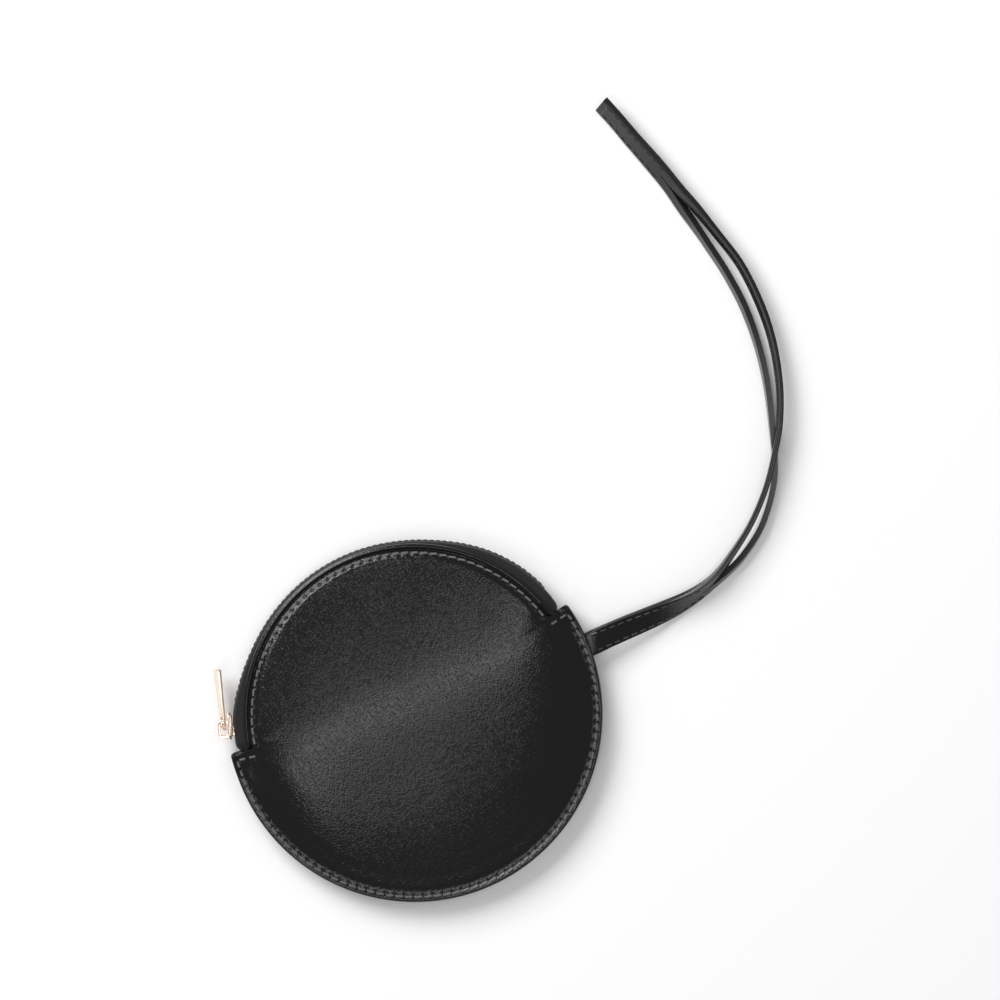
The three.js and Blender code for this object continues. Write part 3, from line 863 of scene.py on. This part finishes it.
def add_stitch(bm, middle, along, outward, length=STITCH_LENGTH, width=STITCH_WIDTH):
    """One stitch: a short length of thread with round ends, bowed so that it dips into the leather."""
    side = outward.cross(along).normalized()
    up = along.cross(side).normalized()
    turn = Matrix((side, up, along.normalized())).transposed().to_4x4()
    size = Matrix.Diagonal((width / 2, STITCH_RISE, width / 2, 1.0))
    verts = bmesh.ops.create_uvsphere(bm, u_segments=8, v_segments=7, radius=1.0)["verts"]
    straight = length / width - 1.0
    for vert in verts:
        vert.co.z += math.copysign(straight, vert.co.z)
        vert.co.y -= STITCH_DIP / STITCH_RISE * (vert.co.z * width / length) ** 2
    bmesh.ops.transform(bm, matrix=Matrix.Translation(middle) @ turn @ size, verts=verts)


def panel_stitches(side, material):
    """The rows along the sewn edge and the zip, and the short rows across the notches that join them."""
    sewn_radius = POUCH_RADIUS - SEWN_STITCH_INSET
    zip_radius = ZIP_EDGE - ZIP_STITCH_INSET
    places = [(angle, sewn_radius, False) for angle in SEWN_STITCHES]
    places += [(angle, zip_radius, False) for angle in ZIP_STITCHES]
    for notch, away in ((ZIP_START, -1), (ZIP_END, 1)):
        angle = notch + away * arc_degrees(NOTCH_STITCH_INSET, POUCH_RADIUS)
        for i in range(NOTCH_STITCH_COUNT):
            radius = lerp(zip_radius, sewn_radius, (i + 0.5) / NOTCH_STITCH_COUNT)
            places.append((angle, radius, True))
    bm = bmesh.new()
    for angle, radius, crosswise in places:
        form = ring_form(side, angle)
        inner, outer = (
            polar(radius + step, angle, panel_height(side, radius + step, angle, form))
            for step in (-STITCH_REST, STITCH_REST)
        )
        slope = (outer - inner).normalized()
        run = polar(1.0, angle + 90.0)
        outward = slope.cross(run) * side
        slanted = run * math.cos(STITCH_SLANT) - slope * math.sin(STITCH_SLANT)
        add_stitch(bm, (inner + outer) / 2, slope if crosswise else slanted, outward)
    name = "front_stitches" if side > 0 else "back_stitches"
    return finish_piece(name, bm, [material], "pouch")


# Zip


def chain_radius(angle):
    return ZIP_EDGE + zip_at(angle)[0] - TOOTH_DEPTH / 2


def tape_line(side, angle):
    """The middle of a tape's thickness, as radius and height, from under the panel to the teeth."""
    form = ring_form(side, angle)
    inset = side * (LEATHER + CLEARANCE + TAPE / 2)
    line = [Vector((radius, plain_height(side, radius, angle, form) - inset)) for radius in form[0][6:9]]
    bend = line[-1].y
    from_end = -math.radians(past_zip(angle)) * ZIP_EDGE
    short = TAPE_END_ROUND - min(from_end, TAPE_END_ROUND)
    radius = chain_radius(angle) - TAPE_END_ROUND + math.sqrt(TAPE_END_ROUND**2 - short**2)
    corner = Vector((radius - TAPE_BEND, bend - side * TAPE_BEND))
    to_teeth = CHAIN_WIDTH / 2 + CLEARANCE * 0.3
    lowest = min(to_teeth, side * (bend - SEAM_HEIGHT) - TAPE_DROP)
    for step in range(5):
        turn = math.radians(90.0 * (1.0 - step / 4))
        line.append(corner + Vector((math.cos(turn), side * math.sin(turn))) * TAPE_BEND)
    line.append(Vector((radius, SEAM_HEIGHT + side * lowest)))
    return line


def thick_line(line, thickness):
    """The outline of a line of points with a thickness: out along one side and back along the other."""
    sides = ([], [])
    for i, point in enumerate(line):
        along = (line[min(i + 1, len(line) - 1)] - line[max(i - 1, 0)]).normalized()
        normal = Vector((-along.y, along.x)) * thickness / 2
        sides[0].append(point + normal)
        sides[1].append(point - normal)
    return sides[0] + sides[1][::-1]


def zip_tape(side, material):
    """One woven tape, bent over from under the panel's edge to the teeth."""
    first = ZIP_START + arc_degrees(TAPE_END_GAP, ZIP_EDGE)
    last = ZIP_END - arc_degrees(TAPE_END_GAP, ZIP_EDGE)
    step = 0.6
    near_end = [0.0, 0.12, 0.3, 0.6, 1.0, 1.6]
    count = int((last - first - 2 * near_end[-1]) / step)
    angles = [first + turn for turn in near_end[:-1]]
    angles += [lerp(first + near_end[-1], last - near_end[-1], i / count) for i in range(count + 1)]
    angles += [last - turn for turn in reversed(near_end[:-1])]
    outlines = [(angle, thick_line(tape_line(side, angle), VISIBLE_TAPE)) for angle in angles]
    rows = len(outlines)
    columns = len(outlines[0][1])

    def place(row, column):
        angle, outline = outlines[row]
        point = outline[column]
        return polar(point.x, angle, point.y)

    bm = grow(rows, columns, place, closed=True)
    run_uv(bm, columns, row_step=math.radians(step) * ZIP_EDGE, column_step=0.9)
    close_ends(bm)
    which = "front" if side > 0 else "back"
    return finish_piece(
        "woven_tape_" + which, bm, [material], "pouch", replaces=("zip_tape_" + which,)
    )


def zip_teeth(side, material):
    """One row of moulded teeth, each a rounded block with a wider head, on a round cord."""
    pitch = arc_degrees(TOOTH_PITCH, ZIP_EDGE)
    first = ZIP_START + arc_degrees(BARE_END, ZIP_EDGE)
    last = SLIDER_ANGLE
    rows = int((last - first) / CORD_STEP) + 1
    cord_sides = 8

    def on_cord(row, column):
        angle = lerp(first, last, row / (rows - 1))
        turn = 2.0 * math.pi * column / cord_sides
        radius = chain_radius(angle) + CORD_RADIUS * math.cos(turn)
        height = CHAIN_WIDTH / 2 + CORD_RADIUS * CORD_FLATNESS * (math.sin(turn) - 1.0)
        return polar(radius, angle, SEAM_HEIGHT + side * height)

    bm = grow(rows, cord_sides, on_cord, closed=True)
    close_ends(bm)
    count = math.floor((last - first) / pitch - 1)
    for i in range(count):
        angle = first + pitch * (i + (0.5 if side > 0 else 1.0))
        turn = Matrix.Rotation(math.radians(angle), 4, "Z")
        # The head is a hair less deep than the neck, so that their faces don't lie in one plane.
        neck = (TOOTH_DEPTH, TOOTH_WIDTH * TOOTH_NECK, CHAIN_WIDTH / 2 + TOOTH_TIP)
        head = (TOOTH_DEPTH * 0.98, TOOTH_WIDTH, TOOTH_HEAD)
        for size, middle in ((neck, (CHAIN_WIDTH / 2 - TOOTH_TIP) / 2), (head, 0.0)):
            place = polar(chain_radius(angle), angle, SEAM_HEIGHT + side * middle)
            add_block(bm, size, place, TOOTH_SOFTNESS, turn, segments=2)
    which = "front" if side > 0 else "back"
    return finish_piece(
        "moulded_teeth_" + which, bm, [material], "pouch", replaces=("zip_teeth_" + which,)
    )


# Slider and pull


def slider_frame():
    """X back along the closed zip, Y out from the pouch, at the middle of the teeth."""
    place = Matrix.Translation(polar(chain_radius(SLIDER_ANGLE), SLIDER_ANGLE, SEAM_HEIGHT))
    return place @ Matrix.Rotation(math.radians(SLIDER_ANGLE - 90.0), 4, "Z")


def add_plate(bm, outline, thickness, bevel, matrix, slot=()):
    """A flat plate with soft edges, from an outline and perhaps a slot in its own XY plane."""
    plate = bmesh.new()
    edges = []
    for points in (outline, slot):
        verts = [plate.verts.new((x, y, -thickness / 2)) for x, y in points]
        edges += [plate.edges.new((verts[i - 1], verts[i])) for i in range(len(verts))]
    bmesh.ops.triangle_fill(plate, edges=edges, use_beauty=True)
    made = bmesh.ops.extrude_face_region(plate, geom=plate.faces[:])["geom"]
    lifted = [item for item in made if isinstance(item, bmesh.types.BMVert)]
    bmesh.ops.translate(plate, vec=(0.0, 0.0, thickness), verts=lifted)
    bmesh.ops.dissolve_limit(plate, angle_limit=0.01, verts=plate.verts[:], edges=plate.edges[:])
    bmesh.ops.recalc_face_normals(plate, faces=plate.faces[:])
    bevel_all(plate, plate.verts[:], bevel)
    bmesh.ops.transform(plate, matrix=matrix, verts=plate.verts[:])
    join(bm, plate)


def round_rectangle(low, high, radius, steps=5):
    """The outline of a rectangle from its low to its high corner, with round corners."""
    points = []
    inner_low = (low[0] + radius, low[1] + radius)
    inner_high = (high[0] - radius, high[1] - radius)
    centres = (
        (inner_high[0], inner_high[1]),
        (inner_low[0], inner_high[1]),
        (inner_low[0], inner_low[1]),
        (inner_high[0], inner_low[1]),
    )
    for quarter, (centre_x, centre_y) in enumerate(centres):
        for step in range(steps):
            turn = math.radians(90.0 * (quarter + step / (steps - 1)))
            points.append((centre_x + radius * math.cos(turn), centre_y + radius * math.sin(turn)))
    return points


# Stands a plate up that was drawn in the XY plane.
STAND = Matrix.Rotation(math.radians(90.0), 4, "X")


def slider_outline(mouth, tail):
    """A slider plate from above: round at its mouth, at negative X, and drawn in to its tail."""
    half = SLIDER_LENGTH / 2
    points = []
    for step in range(9):
        turn = math.radians(-90.0 + 180.0 * step / 8)
        points.append((-half + MOUTH_ROUND * (1.0 - math.cos(turn)), mouth / 2 * math.sin(turn)))
    points += [(half - TAIL_CUT, tail / 2), (half, tail / 2 - TAIL_CUT)]
    points += [(half, -tail / 2 + TAIL_CUT), (half - TAIL_CUT, -tail / 2)]
    return points


def slider(material):
    """The slider's two plates with the post and the flanges between them, and the crown on top."""
    bm = bmesh.new()
    middle_of_plate = CHAIN_GAP + SLIDER_PLATE / 2
    for side, mouth, tail in ((1, SLIDER_MOUTH, SLIDER_TAIL), (-1, SLIDER_INNER, SLIDER_INNER)):
        shift = Matrix.Translation((0.0, side * middle_of_plate, 0.0))
        add_plate(bm, slider_outline(mouth, tail), SLIDER_PLATE, PLATE_SOFTNESS, shift @ STAND)
    post = (POST_LENGTH, 2 * CHAIN_GAP + SLIDER_PLATE, POST_WIDTH)
    add_block(bm, post, (POST_LENGTH - SLIDER_LENGTH / 2, 0.0, 0.0), POST_SOFTNESS)
    reach = CHAIN_GAP / 2 + SLIDER_PLATE / 2
    for side in (-1, 1):
        middle = (0.0, PLATE_FACE - reach / 2 - FLANGE_INSET, side * (SLIDER_TAIL - FLANGE) / 2)
        add_block(bm, (SLIDER_LENGTH * FLANGE_SHARE, reach, FLANGE), middle, FLANGE_SOFTNESS)
    half = CROWN_LENGTH / 2
    foot = PLATE_FACE - SLIDER_PLATE / 2
    band = round_rectangle((-half, foot - CROWN_CORNER), (half, CROWN_INSIDE + CROWN_WIRE), CROWN_CORNER)
    # The band's lower corners are cut off level, inside the plate that it stands on.
    band = [(x, max(y, foot)) for x, y in band]
    hollow_half = half - CROWN_LEG
    hollow = round_rectangle((-hollow_half, PLATE_FACE), (hollow_half, CROWN_INSIDE), CROWN_HOLLOW_CORNER)
    shift = Matrix.Translation((-CROWN_OFFSET, 0.0, 0.0))
    add_plate(bm, band, CROWN_WIDTH, CROWN_SOFTNESS, shift, hollow)
    bmesh.ops.transform(bm, matrix=slider_frame(), verts=bm.verts[:])
    return finish_piece("cast_slider", bm, [material], "pouch", replaces=("slider_body",))


def pull(material):
    """A flat bar with soft edges, thinner at its end, where a slot takes the crown."""
    bm = bmesh.new()
    half = PULL_WIDTH / 2
    bar = round_rectangle((-PULL_EYE_BAR / 2, -half), (PULL_LENGTH, half), PULL_CORNER)
    slot = round_rectangle((PULL_EYE_BAR / 2, PULL_RAIL - half), (PULL_EYE, half - PULL_RAIL), PULL_CORNER)
    add_plate(bm, bar, PULL_THICKNESS, PULL_SOFTNESS, Matrix.Identity(4), slot)
    for vert in bm.verts:
        thin = smoothstep(vert.co.x, *PULL_THINNING)
        vert.co.z *= lerp(1.0, PULL_EYE_BAR / PULL_THICKNESS, thin)
    lean = Matrix.Rotation(PULL_LEAN, 4, "Z")
    roll = Matrix.Rotation(PULL_ROLL, 4, "X")
    shift = Matrix.Translation((-CROWN_OFFSET, PIVOT_OUT, 0.0))
    bmesh.ops.transform(bm, matrix=slider_frame() @ shift @ lean @ roll @ STAND, verts=bm.verts[:])
    return finish_piece("polished_pull", bm, [material], "pull", replaces=("zip_pull",))


# Wrist strap


def strap_stations():
    """The strap's middle line as (distance, place, heading, roll, upper, lower), from inside the seam."""
    exit_point = polar(POUCH_RADIUS, STRAP_ANGLE)
    inward = polar(-STRAP_TUCK, STRAP_ANGLE)
    stations = [
        (STRAP_TUCK * (share - 1.0), exit_point + inward * (1.0 - share), STRAP_ANGLE, 0.0, 0.0, 0.0)
        for share in (0.0, 0.5)
    ]
    step = STRAP_LENGTH / STRAP_STEPS
    place = exit_point.copy()
    for i in range(STRAP_STEPS + 1):
        share = i / STRAP_STEPS
        heading, roll, upper, lower = (table_at(STRAP_RUN, column, share) for column in (1, 2, 3, 4))
        stations.append((i * step, place.copy(), heading, roll, upper, lower))
        place += polar(step, table_at(STRAP_RUN, 1, min(share + 0.5 / STRAP_STEPS, 1.0)))
    return stations


STRAP_STATIONS = strap_stations()


def strap_point(station, half, across, face):
    """A point of the strap: half 1 is the upper strip, across runs from the middle line to the edge."""
    distance, place, heading, roll_degrees, upper, lower = station
    roll = math.radians(roll_degrees)
    left = polar(1.0, heading + 90.0)
    over = left * math.cos(roll) + Vector((0.0, 0.0, math.sin(roll)))
    normal = left * -math.sin(roll) + Vector((0.0, 0.0, math.cos(roll)))
    resting = TABLE_GAP + STRAP_WIDTH / 2 * abs(math.sin(roll)) + STRAP_THICKNESS / 2 * abs(math.cos(roll))
    held = 1.0 - smoothstep(distance, 0.0, STRAP_DROOP)
    to_end = min(distance - SLIT_START, SLIT_START + SLIT_LENGTH - distance)
    parted = smoothstep(to_end, 0.0, PARTING)
    part = (upper + lower) / 2 + half * parted * (upper - lower) / 2
    middle = place + left * (part * STRAP_WIDTH)
    middle.z = lerp(resting, SEAM_HEIGHT, held)
    return middle + over * (half * across) + normal * face


def strap_edge():
    """The strap's cut edge, from its upper face to its lower one: two layers with a groove between them."""
    half = STRAP_THICKNESS / 2
    soft = STRAP_EDGE_ROUND
    upper = [(-soft * 1.2, half), (-soft * 0.35, half - soft * 0.3), (0.0, half - soft), (0.0, STRAP_GROOVE)]
    return upper + [(-STRAP_GROOVE, 0.0)] + [(x, -y) for x, y in reversed(upper)]


def wrist_strap(materials):
    """Two glued layers of leather, slit along the middle into an upper and a lower strip."""
    edge = strap_edge()
    half_thickness = STRAP_THICKNESS / 2
    count = len(edge)
    strips = bmesh.new()
    for half in (1, -1):
        columns = [("edge", x, y) for x, y in edge]
        columns += [("face", share, -half_thickness) for share in reversed(FACE_COLUMNS)]
        columns += [("slit", 0.0, -half_thickness), ("slit", 0.0, 0.0), ("slit", 0.0, half_thickness)]
        columns += [("face", share, half_thickness) for share in FACE_COLUMNS]

        def place(row, column, half=half, columns=columns):
            station = STRAP_STATIONS[row]
            kind, x, y = columns[column]
            open_start = smoothstep(station[0] - SLIT_START, 0.0, SLIT_RUN_OUT)
            open_end = smoothstep(SLIT_START + SLIT_LENGTH - station[0], 0.0, SLIT_RUN_OUT)
            slit = SLIT / 2 * min(open_start, open_end)
            if kind == "edge":
                across = STRAP_WIDTH / 2 + x
            elif kind == "face":
                across = lerp(slit, STRAP_WIDTH / 2, x)
            else:
                across = slit
            return strap_point(station, half, across, y)

        bm = grow(len(STRAP_STATIONS), len(columns), place, closed=True)
        row_of = bm.verts.layers.int["row"]
        column_of = bm.verts.layers.int["column"]
        slit_columns = {i for i, column in enumerate(columns) if column[0] == "slit"}
        edge_columns = set(range(1, count - 1))
        hidden = []
        for face in bm.faces:
            face_columns = {vert[column_of] for vert in face.verts}
            distances = [STRAP_STATIONS[vert[row_of]][0] for vert in face.verts]
            closed = max(distances) <= SLIT_START or min(distances) >= SLIT_START + SLIT_LENGTH
            if face_columns <= slit_columns:
                face.material_index = 1
                if closed:
                    hidden.append(face)
            elif face_columns <= edge_columns:
                face.material_index = 1
        bmesh.ops.delete(bm, geom=hidden, context="FACES_ONLY")
        join(strips, bm)
    bmesh.ops.remove_doubles(strips, verts=strips.verts[:], dist=0.002)
    loose = [edge for edge in strips.edges if not edge.link_faces]
    bmesh.ops.delete(strips, geom=loose, context="EDGES")
    loose_verts = [vert for vert in strips.verts if not vert.link_faces]
    bmesh.ops.delete(strips, geom=loose_verts, context="VERTS")
    close_ends(strips)
    return finish_piece("leather_strap", strips, materials, "pouch", replaces=("wrist_strap",))


def strap_at(distance, half, across, face):
    """A point of the strap at a distance from the seam, between its stations."""
    step = STRAP_LENGTH / STRAP_STEPS
    index = min(int(distance / step) + 2, len(STRAP_STATIONS) - 2)
    share = distance / step + 2 - index
    first = strap_point(STRAP_STATIONS[index], half, across, face)
    second = strap_point(STRAP_STATIONS[index + 1], half, across, face)
    return first.lerp(second, share)


def strap_stitches(material):
    """Two rows of stitches at each end of the strap, joined by a row across its tip."""
    bm = bmesh.new()
    line = STRAP_WIDTH / 2 - STRAP_STITCH_INSET
    # A stitch points from its middle to a point this near on the strap, along it or across it.
    near = 0.4
    tip = STRAP_LENGTH - STRAP_TIP_INSET
    spans = (
        (STRAP_SEAM_START, SLIT_START + STRAP_SEAM_PAST_SLIT),
        (SLIT_START + SLIT_LENGTH - STRAP_SEAM_PAST_SLIT, tip),
    )
    for face in (1, -1):
        height = face * (STRAP_THICKNESS / 2 + STITCH_LIFT)
        stitches = []
        for first, last in spans:
            count = round((last - first) / STITCH_PITCH)
            for i in range(count):
                distance = lerp(first, last, (i + 0.5) / count)
                stitches += [(distance, half, line, (near, 0.0)) for half in (1, -1)]
        stitches += [(tip, half, line / 2, (0.0, near)) for half in (-1, 1)]
        for distance, half, across, step in stitches:
            middle = strap_at(distance, half, across, height)
            along = strap_at(distance + step[0], half, across + step[1], height) - middle
            out = strap_at(distance, half, across, height + face) - middle
            add_stitch(bm, middle, along, out, STRAP_STITCH_LENGTH, STRAP_STITCH_WIDTH)
    return finish_piece("strap_stitches", bm, [material], "pouch")


# Stage


def add_light(name, place, power, length, width, spin=0.0):
    """A soft rectangular lamp that looks at the pouch, turned about its own axis by a spin."""
    light = bpy.data.lights.new(name, "AREA")
    light.energy = power
    light.shape = "RECTANGLE"
    light.size = length
    light.size_y = width
    lamp = bpy.data.objects.new(name, light)
    aim = (-Vector(place)).to_track_quat("-Z", "Y").to_matrix().to_4x4()
    lamp.matrix_world = Matrix.Translation(place) @ aim @ Matrix.Rotation(spin, 4, "Z")
    bpy.context.scene.collection.objects.link(lamp)


def stage():
    """A pale floor, soft studio light, and a camera straight above, framed as the photograph is."""
    frame_width = 0.3075
    distance = 1.5
    middle = Vector((0.0261, 0.0655, 0.0))
    camera = bpy.data.cameras.new("camera")
    camera.sensor_width = 36.0
    camera.lens = camera.sensor_width * distance / frame_width
    camera.clip_end = 20.0
    eye = bpy.data.objects.new("camera", camera)
    eye.location = middle + Vector((0.0, 0.0, distance))
    bpy.context.scene.collection.objects.link(eye)
    bpy.context.scene.camera = eye
    bpy.context.scene.view_settings.view_transform = "Standard"

    bm = bmesh.new()
    bmesh.ops.create_grid(bm, x_segments=1, y_segments=1, size=3.0)
    mesh = bpy.data.meshes.new("floor")
    bm.to_mesh(mesh)
    bm.free()
    floor = bpy.data.objects.new("floor", mesh)
    bpy.context.scene.collection.objects.link(floor)
    paper, shader = new_material("white_background_paper", "#fafafa", 0.9)
    shader.inputs["Specular IOR Level"].default_value = 0.1
    mesh.materials.append(paper)

    world = bpy.data.worlds.new("studio")
    world.use_nodes = True
    world.node_tree.nodes["Background"].inputs["Color"].default_value = linear("#ffffff")
    world.node_tree.nodes["Background"].inputs["Strength"].default_value = 0.33
    bpy.context.scene.world = world

    add_light("strip over the bend", (0.038, -0.094, 1.3), 4.7, 1.6, 0.3, spin=BEND_ANGLE)
    add_light("window", (-0.8, 0.95, 1.2), 25.0, 1.0, 1.0)


def main():
    leather = nappa_leather()
    edge = painted_edge()
    # The threads' grey colours are painted highlight: black thread made lighter to stand in for its glints,
    # the thick thread most of all.
    thick_thread = waxed_thread("thick_black_thread_grey_painted_glints", "#5c5d60")
    thin_thread = waxed_thread("thin_black_thread_grey_painted_glints", "#303133")
    tape = woven_tape()
    plastic = moulded_plastic()
    gold = rose_gold_plate()
    stage()
    for side in (1, -1):
        panel(side, [leather, edge])
        panel_stitches(side, thick_thread)
        zip_tape(side, tape)
        zip_teeth(side, plastic)
    edge_paint(edge)
    slider(gold)
    pull(gold)
    wrist_strap([leather, edge])
    strap_stitches(thin_thread)


main()
